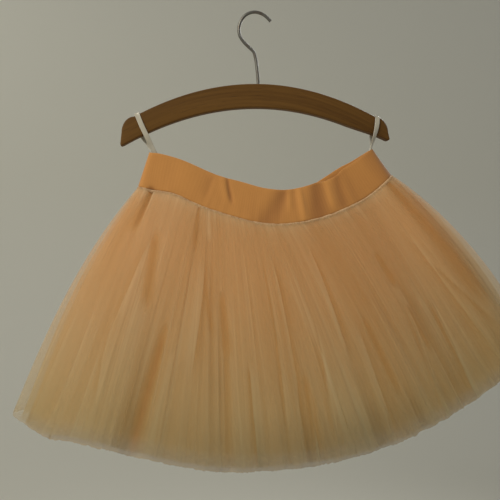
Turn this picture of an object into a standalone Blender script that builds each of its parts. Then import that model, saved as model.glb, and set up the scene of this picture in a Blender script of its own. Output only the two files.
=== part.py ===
"""Tulle skirt hanging by two ribbon loops from a curved wooden hanger.

Metres, +Z up, the front faces -Y. The origin is the inner top of the hanger's hook.
"""

import math

import bmesh
import bpy
import numpy as np

MM = 0.001
GAP = 0.0003  # left between neighbouring pieces

# Hanger
BAR_CENTRE_X = 0.0050
BAR_TOP_Z = -0.0888
BAR_HALF_LENGTH = 0.1695
BAR_DEPTH = 0.0295  # top edge to bottom edge at the middle
BAR_THICKNESS = 0.012
BAR_EDGE_RADIUS = 0.0025
TOP_BEND = 1.78  # drop of the top edge, metres per square metre
BOTTOM_BEND = 1.70
TIP_REACH = 0.0175  # the rounded upper corner of each tip
TIP_DROP = 0.020
BAR_TILT = math.radians(1.3)  # the left end hangs lower
HOOK_WIRE = 0.0039
BORE_DEPTH = 0.016

# Waistband, seam and tulle
BAND_WALL = 0.0018
SEAM_HEIGHT = 0.0020
SEAM_OUT = 0.0016  # how far the overlocked edge stands out
SEAM_IN = 0.0044
TULLE_WALL = 0.0013
WAIST_GATHER = 0.0008
HEM_GATHER = 0.0036
INNER_WAIST_GATHER = 0.0004
INNER_HEM_GATHER = 0.0026
INNER_WAIST_INSET = 0.0032
INNER_HEM_INSET = 0.0125
INNER_EXTRA = 0.016  # how much longer the inner layer is, as a share of the length
HEM_RAGGED = 0.0016
OUTER_GATHERS = (54, 42)  # front, back
INNER_GATHERS = (48, 38)
# Wave of one gather: share of its width, height
ROUND_GATHER = ((0.0, -1.0), (0.27, 0.25), (0.5, 1.0), (0.73, 0.25))
SHARP_GATHER = ((0.0, -1.0), (0.5, 1.0))

# Ribbon loops
RIBBON_WIDTH = 0.006
RIBBON_WALL = 0.0010

# Sections down the length of the tulle, as shares of it, and up the waistband
TULLE_LEVELS = (0.0, 0.07, 0.24, 0.48, 0.75, 1.0)
INNER_LEVELS = (0.0, 0.12, 0.45, 0.75, 1.0)
BAND_LEVELS = (0.0, 0.3, 0.7, 1.0)

# Columns round the waistband: their spacing, and the fewest between two rows of FOLDS
FRONT_STEP = 0.0055
BACK_STEP = 0.011
LEAST_COLUMNS = 5

# One row for each fold that leads the cloth, once round from the left side seam, in mm:
# the waistband's top edge, the waist seam, the hem, and how far the tulle puffs out.
FOLDS = (
    # name, top x, y, z, waist x, y, z, hem x, y, z, puff
    ("left seam", -128, 0, -176, -142, 0, -220, -283, -30, -482, 13),
    ("left turn", -126, -4, -177, -138, -8, -221, -251, -66, -494, 13),
    ("pinch", -116, -5, -178, -124, -10, -224, -215, -88, -496, 10),
    ("left fan", -90, -6, -185, -101, -13, -228, -178, -100, -502, 9),
    ("deep fold", -57, -7, -199, -74, -16, -240, -145, -106, -510, 9),
    ("left front", -41, -8, -205, -56, -18, -247, -67, -110, -527, 10),
    ("middle", -14, -9, -212, -24, -21, -257, -6, -110, -531, 11),
    ("right of middle", 13, -10, -219, 7, -24, -264, 66, -104, -529, 12),
    ("right front", 45, -10, -220, 44, -24, -264, 154, -88, -515, 12),
    ("right fan", 80, -9, -210, 93, -20, -253, 224, -66, -496, 12),
    ("right slope", 118, -7, -190, 141, -13, -231, 279, -46, -474, 14),
    ("right turn", 150, -4, -168, 175, -8, -204, 352, -30, -429, 17),
    ("right seam", 153, 0, -166, 179, 0, -201, 375, 0, -412, 17),
    ("right back turn", 150, 4, -168, 175, 8, -204, 357, 29, -427, 15),
    ("back slope", 118, 7, -188, 141, 9, -230, 290, 34, -478, 6),
    ("back right", 78, 8, -212, 93, 9, -255, 205, 36, -516, 3),
    ("back right of middle", 29, 8, -222, 35, 9, -268, 90, 37, -549, 2),
    ("back middle", -20, 8, -218, -22, 9, -264, -25, 37, -551, 2),
    ("back left", -66, 8, -201, -76, 9, -245, -130, 36, -528, 3),
    ("back left fan", -108, 7, -184, -116, 9, -228, -215, 32, -500, 6),
    ("left back turn", -126, 4, -177, -138, 8, -221, -260, 10, -489, 12),
)
RIGHT_SEAM_ROW = 12

# Deep folds of the tulle: place in rows of FOLDS, where they start down the length and
# where they are deepest, half width at the hem and depth in mm
CREASES = (
    # row, start, deepest, half width, depth
    (1.3, 0.00, 0.25, 11, 5),
    (2.2, 0.15, 0.40, 9, 4),
    (3.9, 0.40, 1.00, 12, 13),
    (5.3, 0.30, 0.75, 9, 7),
    (6.1, 0.60, 1.00, 7, 5),
    (6.9, 0.55, 1.00, 8, 8),
    (7.9, 0.30, 1.00, 9, 7),
    (8.6, 0.70, 1.00, 8, 8),
    (9.6, 0.20, 0.55, 9, 6),
    (11.3, 0.00, 0.50, 12, 7),
    (14.5, 0.20, 0.90, 12, 6),
    (16.0, 0.10, 0.80, 10, 5),
    (17.4, 0.30, 1.00, 12, 7),
    (18.7, 0.20, 0.90, 10, 5),
)

# Soft flutes and the crease of the waistband: row of FOLDS, half width and depth in mm
FLUTES = (
    # row, half width, depth
    (5.6, 3.5, -1.0),
    (7.4, 6.0, -1.8),
    (7.8, 4.0, 1.0),
    (8.1, 5.0, -1.4),
    (8.5, 4.5, 1.4),
    (8.95, 6.0, -2.0),
    (9.25, 4.5, 1.5),
    (9.5, 5.0, -1.6),
    (10.0, 6.0, 1.0),
    (15.4, 8.0, 1.5),
    (17.0, 8.0, -1.5),
    (18.5, 9.0, 1.4),
)

# Middle line of the bent hook, mm
HOOK = (
    # x, z
    (21.8, -8.6),
    (16.4, -3.4),
    (9.6, 0.6),
    (0.0, 1.95),
    (-9.6, -2.0),
    (-16.4, -11.0),
    (-18.6, -20.6),
    (-17.2, -28.4),
    (-12.9, -35.3),
    (-5.8, -42.2),
    (0.2, -48.0),
    (2.4, -55.0),
    (4.6, -71.0),
    (6.0, -88.0),
)

# Middle lines of the ribbon loops, mm, and the ribbon's turn about its own line, degrees
LEFT_LOOP = (
    # x, y, z, turn
    (-120.6, -1.7, -186, 0),
    (-122.4, -1.6, -178, 0),
    (-126.2, -3.0, -169, 0),
    (-134.4, -7.0, -157, 0),
    (-140.4, -7.3, -144, 0),
    (-143.6, -6.0, -130.6, 0),
    (-143.8, -3.0, -129.2, 0),
    (-143.8, 3.0, -129.2, 0),
    (-143.6, 6.0, -130.6, 0),
    (-142.2, 7.2, -140, 0),
    (-138.6, 7.3, -153, 0),
    (-130.6, 5.0, -164, 0),
    (-122.0, 0.9, -177.5, 0),
    (-121.4, 1.7, -186, 0),
)
RIGHT_LOOP = (
    # x, y, z, turn
    (146.6, -1.4, -178, 0),
    (146.7, -1.0, -168.5, -2),
    (149.6, -5.0, -160.5, 52),
    (152.6, -10.4, -152, 44),
    (156.8, -8.4, -138, 9),
    (158.6, -6.3, -126.2, 0),
    (159.0, -3.0, -125.2, 0),
    (159.0, 3.0, -125.2, 0),
    (158.6, 6.3, -126.2, 0),
    (156.8, 7.4, -138, 0),
    (153.2, 7.2, -151, 0),
    (149.0, 3.8, -161, 0),
    (145.4, 0.8, -170.0, 0),
    (146.8, 1.6, -178, 0),
)
LEFT_LOOP_ACROSS = (0.90, 0.0, 0.43)
RIGHT_LOOP_ACROSS = (0.88, 0.0, -0.47)


def material(name, colour, roughness, metallic=0.0):
    mat = bpy.data.materials.new(name)
    mat.use_nodes = True
    mat.diffuse_color = (*colour, 1)
    shader = mat.node_tree.nodes["Principled BSDF"]
    shader.inputs["Base Color"].default_value = (*colour, 1)
    shader.inputs["Roughness"].default_value = roughness
    shader.inputs["Metallic"].default_value = metallic
    return mat


def finish(obj, mat, smooth_angle=None):
    obj.data.materials.append(mat)
    if smooth_angle is not None:
        obj.data.shade_smooth()
        obj.data.set_sharp_from_angle(angle=math.radians(smooth_angle))
    return obj


def smooth_curve(knots, rows, at, closed):
    """Reads a smooth curve through rows, one for each knot, at the places in at."""
    knots, rows, at = np.asarray(knots), np.asarray(rows, float), np.asarray(at)
    if closed:  # the first row comes again at 1, and a few rows carry on each side
        knots = np.concatenate([knots[-3:] - 1, knots, knots[:3] + 1])
        rows = np.concatenate([rows[-3:], rows, rows[:3]])
    steps = np.diff(knots)
    slopes = np.diff(rows, axis=0) / steps[:, None]
    tangents = np.empty_like(rows)
    tangents[0], tangents[-1] = slopes[0], slopes[-1]
    tangents[1:-1] = slopes[:-1] * steps[1:, None] + slopes[1:] * steps[:-1, None]
    tangents[1:-1] /= (steps[1:] + steps[:-1])[:, None]
    k = np.clip(np.searchsorted(knots, at, side="right") - 1, 0, len(steps) - 1)
    h = steps[k][:, None]
    t = (at - knots[k])[:, None] / h
    return (
        rows[k] * (2 * t**3 - 3 * t**2 + 1)
        + tangents[k] * h * (t**3 - 2 * t**2 + t)
        + rows[k + 1] * (3 * t**2 - 2 * t**3)
        + tangents[k + 1] * h * (t**3 - t**2)
    )


def unit(vectors):
    return vectors / np.linalg.norm(vectors, axis=-1, keepdims=True)


def smooth_step(x):
    x = np.clip(x, 0, 1)
    return x * x * (3 - 2 * x)


TABLE = np.array([row[1:] for row in FOLDS], float) * MM
WAIST_COLUMNS, HEM_COLUMNS = slice(3, 6), slice(6, 9)


def fold_knots():
    """Place of each row of FOLDS round the skirt, 0 to 1: the mean of waist and hem."""
    knots = np.zeros(len(TABLE) + 1)
    for columns in (WAIST_COLUMNS, HEM_COLUMNS):
        ring = np.vstack([TABLE[:, columns], TABLE[:1, columns]])
        run = np.cumsum(np.linalg.norm(np.diff(ring, axis=0), axis=1))
        knots[1:] += 0.5 * run / run[-1]
    return knots


KNOTS = fold_knots()
RIGHT_SEAM = KNOTS[RIGHT_SEAM_ROW]


def place(row):
    """Place round the skirt of a fractional row of FOLDS."""
    return float(np.interp(row, range(len(KNOTS)), KNOTS))


def lines(u):
    """Top edge, waist, hem and puff at the places u round the skirt."""
    read = smooth_curve(KNOTS[:-1], TABLE, np.mod(u, 1.0), closed=True)
    return read[:, 0:3], read[:, 3:6], read[:, 6:9], read[:, 9]


def outward(u, upper, lower):
    """Unit vectors across the cloth that runs from upper to lower, away from the body."""
    step = 1e-4
    ahead, behind = lines(u + step), lines(u - step)
    along = unit(ahead[1] + ahead[2] - behind[1] - behind[2])
    return unit(np.cross(unit(lower - upper), along))


def creases(u, level):
    """How far the deep folds pull the tulle in at each place, metres."""
    pull = np.zeros_like(u)
    for row, start, deepest, half_width, depth in CREASES:
        strength = smooth_step((level - start) / (deepest - start))
        if level > deepest:
            strength *= 1 - 0.6 * (level - deepest)
        hem_run = np.linalg.norm(np.diff(TABLE[:, HEM_COLUMNS], axis=0), axis=1).sum()
        width = half_width * MM / hem_run
        away = np.mod(u - place(row) + 0.5, 1.0) - 0.5
        pull += depth * MM * strength * np.exp(-((away / width) ** 2))
    return pull


def gathered(first, last, count, shape, phase):
    """Columns of a gathered panel: place, height of the wave, -1 to 1, and its size."""
    columns = []
    for i in range(count):
        ends = []
        for k in (i, i + 1):
            uneven = 0.26 * math.sin(2.4 * k + phase) + 0.12 * math.sin(5.3 * k + phase)
            ends.append(k + (uneven if 0 < k < count else 0))
        size = 0.72 + 0.34 * math.sin(1.7 * i + phase) * math.sin(0.61 * i + 2 * phase)
        for share, height in shape:
            at = (ends[0] + share * (ends[1] - ends[0])) / count
            columns.append((first + at * (last - first), height, size))
    columns.append((last, shape[0][1], 0.7))
    columns[0] = (first, shape[0][1], 0.7)
    return [np.array(column) for column in zip(*columns)]


def tulle_grid(columns, levels, inset, gather, extra=0.0):
    """Outer and inner face of a tulle panel, as grids of points, level by level."""
    u, height, size = columns
    top, waist, hem, puff = lines(u)
    at_seam, below = outward(u, top, waist), outward(u, waist, hem)
    drop = unit(hem - waist)
    under_seam = unit(waist - top) * (SEAM_HEIGHT / 2 + GAP)
    ragged = HEM_RAGGED * (0.6 * height + 0.4 * np.sin(37.0 * height + 211.0 * u))
    faces = []
    for level in levels:
        share = level * (1 + extra)
        middle = waist + (hem - waist) * share
        middle += under_seam * (1 - level)
        normal = unit(at_seam + (below - at_seam) * smooth_step(level / 0.24))
        middle += drop * (ragged * smooth_step(level * 2 - 1))[:, None]
        swell = puff * math.sin(math.pi * min(share, 1.0) ** 0.85)
        wave = gather[0] + (gather[1] - gather[0]) * level**0.75
        pushed = inset[0] + (inset[1] - inset[0]) * level**0.8
        out = swell + wave * height * size - pushed - creases(u, level)
        faces.append(
            [middle + normal * (out + side)[:, None] for side in wall_sides(TULLE_WALL)]
        )
    outer, inner = zip(*faces)
    return seam_gaps(np.array(outer), u), seam_gaps(np.array(inner), u)


def wall_sides(thickness):
    return thickness / 2, -thickness / 2


def seam_gaps(grid, u):
    """Pulls a panel's two side edges back by half the gap each."""
    for end, beside in ((0, 1), (-1, -2)):
        toward = unit(grid[:, beside] - grid[:, end])
        grid[:, end] += toward * GAP / 2
    return grid


def wall(name, outer, inner, mat, closed, smooth_angle):
    """A closed solid between two faces, each a grid of points, level by level."""
    mesh = bmesh.new()
    grids = [
        [[mesh.verts.new(point) for point in row] for row in face]
        for face in (outer, inner)
    ]
    levels, count = len(outer), len(outer[0])
    spans = count if closed else count - 1
    for j in range(spans):
        k = (j + 1) % count
        for i in range(levels - 1):
            for a in grids:
                mesh.faces.new((a[i][j], a[i][k], a[i + 1][k], a[i + 1][j]))
        for i in (0, levels - 1):
            a, b = grids
            mesh.faces.new((a[i][j], a[i][k], b[i][k], b[i][j]))
    if not closed:
        a, b = grids
        for j in (0, count - 1):
            for i in range(levels - 1):
                mesh.faces.new((a[i][j], a[i + 1][j], b[i + 1][j], b[i][j]))
    bmesh.ops.recalc_face_normals(mesh, faces=mesh.faces)
    data = bpy.data.meshes.new(name)
    mesh.to_mesh(data)
    mesh.free()
    obj = bpy.data.objects.new(name, data)
    parts.objects.link(obj)
    return finish(obj, mat, smooth_angle)


def band_places():
    """Columns of the waistband: closer together on the front, where it is fluted."""
    ring = np.vstack([TABLE[:, WAIST_COLUMNS], TABLE[:1, WAIST_COLUMNS]])
    runs = np.linalg.norm(np.diff(ring, axis=0), axis=1)
    places = []
    for row, run in enumerate(runs):
        step = FRONT_STEP if row < RIGHT_SEAM_ROW else BACK_STEP
        count = max(LEAST_COLUMNS, round(run / step))
        places.append(np.linspace(KNOTS[row], KNOTS[row + 1], count, endpoint=False))
    return np.concatenate(places)


def waistband(mat):
    u = band_places()
    top, waist, _, _ = lines(u)
    rise = unit(top - waist)
    bottom = waist + rise * (SEAM_HEIGHT / 2 + GAP)
    normal = outward(u, top, bottom)
    ring = np.linalg.norm(np.diff(TABLE[:, WAIST_COLUMNS], axis=0), axis=1).sum()
    flutes = np.zeros_like(u)
    for row, half_width, depth in FLUTES:
        width = half_width * MM / ring
        flutes += depth * MM * np.exp(-(((u - place(row)) / width) ** 2))
    faces = []
    for level in BAND_LEVELS:
        # The seam and the top edge hold the band, so it swells a little between them.
        share = 0.25 + 0.75 * math.sin(math.pi * min(0.12 + level * 0.75, 1.0))
        middle = bottom + (top - bottom) * level
        faces.append(
            [
                middle + normal * (flutes * share + side)[:, None]
                for side in wall_sides(BAND_WALL)
            ]
        )
    outer, inner = zip(*faces)
    return wall("waistband", outer, inner, mat, closed=True, smooth_angle=45)


def waist_seam(mat):
    u = band_places()
    top, waist, _, _ = lines(u)
    rise = unit(top - waist)
    normal = outward(u, top, waist)
    faces = []
    for out in (SEAM_OUT, -SEAM_IN):
        middle = waist + normal * out
        half = rise * SEAM_HEIGHT / 2
        faces.append([middle + half, middle - half])
    upper = [faces[0][0], faces[1][0]]
    lower = [faces[0][1], faces[1][1]]
    return wall("waist_seam", upper, lower, mat, closed=True, smooth_angle=60)


def tulle(name, gathers, shape, levels, inset, gather, extra, mat):
    """The front and back panels of one layer."""
    spans = (("front", 0.0, RIGHT_SEAM), ("back", RIGHT_SEAM, 1.0))
    for (side, first, last), count in zip(spans, gathers):
        columns = gathered(first, last, count, shape, phase=len(name + side))
        grids = tulle_grid(columns, levels, inset, gather, extra)
        wall(f"{name}_{side}", *grids, mat, closed=False, smooth_angle=60)


def ribbon(name, route, across, mat):
    """A strip of ribbon along a route, turned about its own line where it twists."""
    route = np.array(route, float)
    knots = np.linspace(0, 1, len(route))
    read = smooth_curve(knots, route, np.linspace(0, 1, 40), closed=False)
    middle, turn = read[:, :3] * MM, np.radians(read[:, 3])
    along = unit(np.gradient(middle, axis=0))
    across = np.array(across) - along * (along @ np.array(across))[:, None]
    across = unit(across)
    face = np.cross(along, across)
    side = across * np.cos(turn)[:, None] + face * np.sin(turn)[:, None]
    face = np.cross(along, side)
    edges = np.stack([middle + side * RIBBON_WIDTH * s for s in (-0.5, 0.5)], axis=1)
    half = face[:, None, :] * RIBBON_WALL / 2
    return wall(name, edges + half, edges - half, mat, closed=False, smooth_angle=60)


def poly_curve(name, points, cyclic):
    curve = bpy.data.curves.new(name, "CURVE")
    spline = curve.splines.new("POLY")
    spline.points.add(len(points) - 1)
    for point, co in zip(spline.points, points):
        point.co = (*co, 1)
    spline.use_cyclic_u = cyclic
    obj = bpy.data.objects.new(name, curve)
    parts.objects.link(obj)
    return obj


def as_mesh(curve_object):
    """The curve's evaluated shape as a mesh object of the same name, caps welded."""
    bpy.context.view_layer.update()
    graph = bpy.context.evaluated_depsgraph_get()
    data = bpy.data.meshes.new_from_object(curve_object.evaluated_get(graph))
    mesh = bmesh.new()
    mesh.from_mesh(data)
    bmesh.ops.remove_doubles(mesh, verts=mesh.verts, dist=1e-5)
    mesh.to_mesh(data)
    mesh.free()
    name = curve_object.name
    obj = bpy.data.objects.new(name, data)
    obj.matrix_world = curve_object.matrix_world
    bpy.data.objects.remove(curve_object)
    parts.objects.link(obj)
    obj.name = name
    return obj


def hanger_bar(mat):
    """A flat bent bar with a rounded tip at each end and a blind bore for the hook."""

    def top(x):
        return -TOP_BEND * x * x

    def bottom(x):
        return -BAR_DEPTH - BOTTOM_BEND * x * x

    tip_start = BAR_HALF_LENGTH - TIP_REACH
    half = [(x, top(x)) for x in np.linspace(0, tip_start, 12)]
    for turned in np.radians((30, 50, 70, 88)):  # the tip's upper corner
        half.append(
            (
                tip_start + TIP_REACH * math.sin(turned),
                top(tip_start) - TIP_DROP * (1 - math.cos(turned)),
            )
        )
    end = BAR_HALF_LENGTH
    half += [(end, bottom(end) + 0.009), (end - 0.001, bottom(end) + 0.004)]
    half += [(end - 0.004, bottom(end - 0.004) + 0.001)]
    half += [(x, bottom(x)) for x in np.linspace(end - 0.010, 0, 12)]
    outline = half + [(-x, z) for x, z in half[-2:0:-1]]
    inset = BAR_EDGE_RADIUS
    bar = poly_curve("hanger_bar", [(x, z, 0) for x, z in outline], cyclic=True)
    bar.data.dimensions = "2D"
    bar.data.fill_mode = "BOTH"
    bar.data.extrude = BAR_THICKNESS / 2 - inset
    bar.data.bevel_depth = inset
    bar.data.bevel_resolution = 1
    bar.data.offset = -inset
    bar.location = (BAR_CENTRE_X, 0, BAR_TOP_Z)
    bar.rotation_euler = (math.radians(90), -BAR_TILT, 0)
    bar = as_mesh(bar)
    bpy.ops.mesh.primitive_cylinder_add(
        vertices=16, radius=HOOK_WIRE / 2 + GAP, depth=BORE_DEPTH * 2
    )
    bore = bpy.context.object
    bore.name = "hook_bore_cutter"
    bore.location = (HOOK[-1][0] * MM, 0, BAR_TOP_Z)
    bore.hide_render = True
    bore.display_type = "WIRE"
    for collection in list(bore.users_collection):
        collection.objects.unlink(bore)
    cutters.objects.link(bore)
    cut = bar.modifiers.new("Hook bore", "BOOLEAN")
    cut.operation = "DIFFERENCE"
    cut.object = bore
    return finish(bar, mat, 40)


def hanger_hook(mat):
    route = [(x, z) for x, z in HOOK]
    reach = BORE_DEPTH - 0.001
    route.append((HOOK[-1][0], BAR_TOP_Z / MM - reach / MM))
    route = np.array(route)
    run = np.concatenate([[0], np.cumsum(np.linalg.norm(np.diff(route, axis=0), axis=1))])
    read = smooth_curve(run / run[-1], route, np.linspace(0, 1, 34), closed=False)
    wire = poly_curve("hanger_hook", [(x * MM, 0, z * MM) for x, z in read], cyclic=False)
    wire.data.dimensions = "3D"
    wire.data.bevel_depth = HOOK_WIRE / 2
    wire.data.bevel_resolution = 2
    wire.data.use_fill_caps = True
    wire.data.materials.append(mat)
    return wire


for old in list(bpy.data.objects):
    bpy.data.objects.remove(old)
parts = bpy.data.collections.new("Tulle skirt")
cutters = bpy.data.collections.new("Cutters")
bpy.context.scene.collection.children.link(parts)
bpy.context.scene.collection.children.link(cutters)

salmon_rib = material("Salmon rib knit", (0.72, 0.30, 0.10), 0.85)
pale_thread = material("Pale overlock thread", (0.80, 0.50, 0.28), 0.8)
sheer_tulle = material("Sheer peach tulle", (0.80, 0.53, 0.32), 0.7)
deep_tulle = material("Deep peach tulle", (0.74, 0.40, 0.20), 0.7)
satin = material("Ivory satin ribbon", (0.80, 0.76, 0.62), 0.35)
wood = material("Brown wood", (0.20, 0.10, 0.035), 0.45)
steel = material("Steel wire", (0.45, 0.43, 0.40), 0.3, metallic=1.0)

waistband(salmon_rib)
waist_seam(pale_thread)
tulle(
    "tulle_outer",
    OUTER_GATHERS,
    ROUND_GATHER,
    TULLE_LEVELS,
    inset=(0, 0),
    gather=(WAIST_GATHER, HEM_GATHER),
    extra=0,
    mat=sheer_tulle,
)
tulle(
    "tulle_inner",
    INNER_GATHERS,
    SHARP_GATHER,
    INNER_LEVELS,
    inset=(INNER_WAIST_INSET, INNER_HEM_INSET),
    gather=(INNER_WAIST_GATHER, INNER_HEM_GATHER),
    extra=INNER_EXTRA,
    mat=deep_tulle,
)
ribbon("loop_left", LEFT_LOOP, LEFT_LOOP_ACROSS, satin)
ribbon("loop_right", RIGHT_LOOP, RIGHT_LOOP_ACROSS, satin)
hanger_bar(wood)
hanger_hook(steel)
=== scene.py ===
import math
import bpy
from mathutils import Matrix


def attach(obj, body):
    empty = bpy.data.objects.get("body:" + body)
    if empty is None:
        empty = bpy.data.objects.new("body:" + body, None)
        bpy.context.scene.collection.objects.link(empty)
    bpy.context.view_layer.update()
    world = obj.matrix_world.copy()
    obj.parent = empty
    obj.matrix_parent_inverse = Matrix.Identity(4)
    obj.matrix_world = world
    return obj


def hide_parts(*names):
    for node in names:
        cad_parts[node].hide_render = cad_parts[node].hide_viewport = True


bl_info = {
    "name": "Tulle Skirt on a Hanger",
    "version": (1, 0, 0),
    "blender": (4, 5, 0),
    "location": "3D View > Sidebar > Tulle Skirt",
    "description": "Dresses the packed skirt: net plies, rib waistband, seam, ribbon loops and hanger",
    "category": "Object",
}

from collections import namedtuple

import bmesh
import bpy
import numpy as np
from bpy.props import FloatProperty, FloatVectorProperty, IntProperty, PointerProperty
from mathutils import Vector

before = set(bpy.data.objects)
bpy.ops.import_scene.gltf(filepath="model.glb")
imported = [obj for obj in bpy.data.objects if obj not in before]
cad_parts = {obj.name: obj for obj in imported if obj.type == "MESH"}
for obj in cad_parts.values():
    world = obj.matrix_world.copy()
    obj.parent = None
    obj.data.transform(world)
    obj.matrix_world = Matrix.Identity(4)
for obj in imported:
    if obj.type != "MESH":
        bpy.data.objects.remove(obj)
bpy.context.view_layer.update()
BODY = "root"
MM = 0.001

# ---------------------------------------------------------------- lengths of cloth

SEAM_HEIGHT = 0.0020
SEAM_ROLL = 0.0034  # the gathered allowance rolls over both edges
SEAM_OUT = 0.0008  # how far the roll stands out, and how far it reaches in
SEAM_IN = 0.0044
SEAM_LUMPS = 190  # gathers that swell the roll, once round
STITCHES_OUT = 0.0002
STITCH_REACH = 0.0013
THREAD_RADIUS = 0.0002
SEAM_MAP_HEIGHT = 0.012  # length once round the roll's section
GAP = 0.0003
BAND_WALL = 0.0018
BAND_MAP_HEIGHT = 0.1  # the outside and the inside together
PUCKERS = 128  # small waves of the knit, once round
NET_OVER_ROLL = 0.0007
SIDE_EDGE = 0.004  # share of the ring in which the pleats die out at a side edge
BACK_COLUMNS = 0.7  # columns of a back ply, as a share of a front one's
RIGHT_SEAM_ROW = 12
PINCH_ROW = 1.87  # where the seam is tucked in
PINCH_DEPTH = 0.0024
PINCH_HALF_WIDTH = 0.0045

# One row for each fold that leads the cloth, once round from the left side seam, in mm:
# the waistband's top edge, the waist seam, the hem, and how far the tulle puffs out.
FOLDS = (
    # name, top x, y, z, waist x, y, z, hem x, y, z, puff
    ("left seam", -128, 0, -176, -142, 0, -220, -283, -30, -482, 13),
    ("left turn", -126, -4, -177, -138, -8, -221, -251, -66, -494, 13),
    ("pinch", -116, -5, -178, -124, -10, -224, -215, -88, -496, 10),
    ("left fan", -90, -6, -185, -101, -13, -228, -178, -100, -502, 9),
    ("deep fold", -57, -7, -199, -74, -16, -240, -145, -106, -510, 9),
    ("left front", -41, -8, -205, -56, -18, -247, -67, -110, -527, 10),
    ("middle", -14, -9, -212, -24, -21, -257, -6, -110, -531, 11),
    ("right of middle", 13, -10, -219, 7, -24, -264, 66, -104, -529, 12),
    ("right front", 45, -10, -220, 44, -24, -264, 154, -88, -515, 12),
    ("right fan", 80, -9, -210, 93, -20, -253, 224, -66, -496, 12),
    ("right slope", 118, -7, -190, 141, -13, -231, 279, -46, -474, 14),
    ("right turn", 150, -4, -168, 175, -8, -204, 352, -30, -429, 17),
    ("right seam", 153, 0, -166, 179, 0, -201, 375, 0, -412, 17),
    ("right back turn", 150, 4, -168, 175, 8, -204, 357, 29, -427, 15),
    ("back slope", 118, 7, -188, 141, 9, -230, 290, 34, -478, 6),
    ("back right", 78, 8, -212, 93, 9, -255, 205, 36, -516, 3),
    ("back right of middle", 29, 8, -222, 35, 9, -268, 90, 37, -549, 2),
    ("back middle", -20, 8, -218, -22, 9, -264, -25, 37, -551, 2),
    ("back left", -66, 8, -201, -76, 9, -245, -130, 36, -528, 3),
    ("back left fan", -108, 7, -184, -116, 9, -228, -215, 32, -500, 6),
    ("left back turn", -126, 4, -177, -138, 8, -221, -260, 10, -489, 12),
)

# Folds that pull the tulle in, or with a minus lift it, in mm
CREASES = (
    # row, start, deepest, half width, depth
    (1.3, 0.00, 0.25, 11, 5),
    (PINCH_ROW, -0.10, 0.04, 8, 4),
    (2.2, 0.15, 0.40, 9, 4),
    (3.9, 0.40, 1.00, 12, 13),
    (5.3, 0.30, 0.75, 9, 7),
    (6.1, 0.60, 1.00, 7, 5),
    (6.9, 0.55, 1.00, 8, 8),
    (7.9, 0.30, 1.00, 9, 7),
    (8.6, 0.70, 1.00, 8, 8),
    (9.6, 0.20, 0.55, 9, 6),
    (11.3, 0.00, 0.50, 12, 7),
    (14.5, 0.20, 0.90, 12, 6),
    (16.0, 0.10, 0.80, 10, 5),
    (17.4, 0.30, 1.00, 12, 7),
    (18.7, 0.20, 0.90, 10, 5),
)
LIGHT_CREASES = (
    # row, start, deepest, half width, depth
    (2.75, 0.05, 0.30, 7, 3.0),
    (2.95, 0.20, 0.50, 9, -3.0),
    (3.5, 0.60, 0.95, 6, 2.5),
    (4.22, 0.45, 1.00, 8, -4.0),
    (4.45, 0.00, 0.12, 8, 2.5),
    (4.75, 0.55, 0.95, 7, 3.0),
    (5.1, 0.15, 0.40, 6, 3.0),
    (5.55, 0.55, 1.00, 6, -2.5),
    (6.5, 0.35, 0.90, 6, 2.5),
    (7.3, 0.40, 0.95, 6, 3.0),
    (7.55, 0.55, 1.00, 7, -3.0),
    (8.25, 0.25, 0.70, 7, 3.0),
    (8.95, 0.10, 0.60, 8, 4.0),
    (9.3, 0.45, 1.00, 8, 4.0),
    (9.9, 0.50, 1.00, 8, -3.5),
    (10.4, 0.25, 0.80, 9, 4.0),
    (10.9, 0.15, 0.70, 8, -3.0),
    (13.6, 0.10, 0.60, 9, 3.0),
    (15.2, 0.30, 0.90, 8, 3.0),
    (16.6, 0.40, 1.00, 7, -3.0),
    (18.0, 0.15, 0.60, 7, 2.5),
    (19.5, 0.20, 0.90, 9, 3.5),
)

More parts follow.
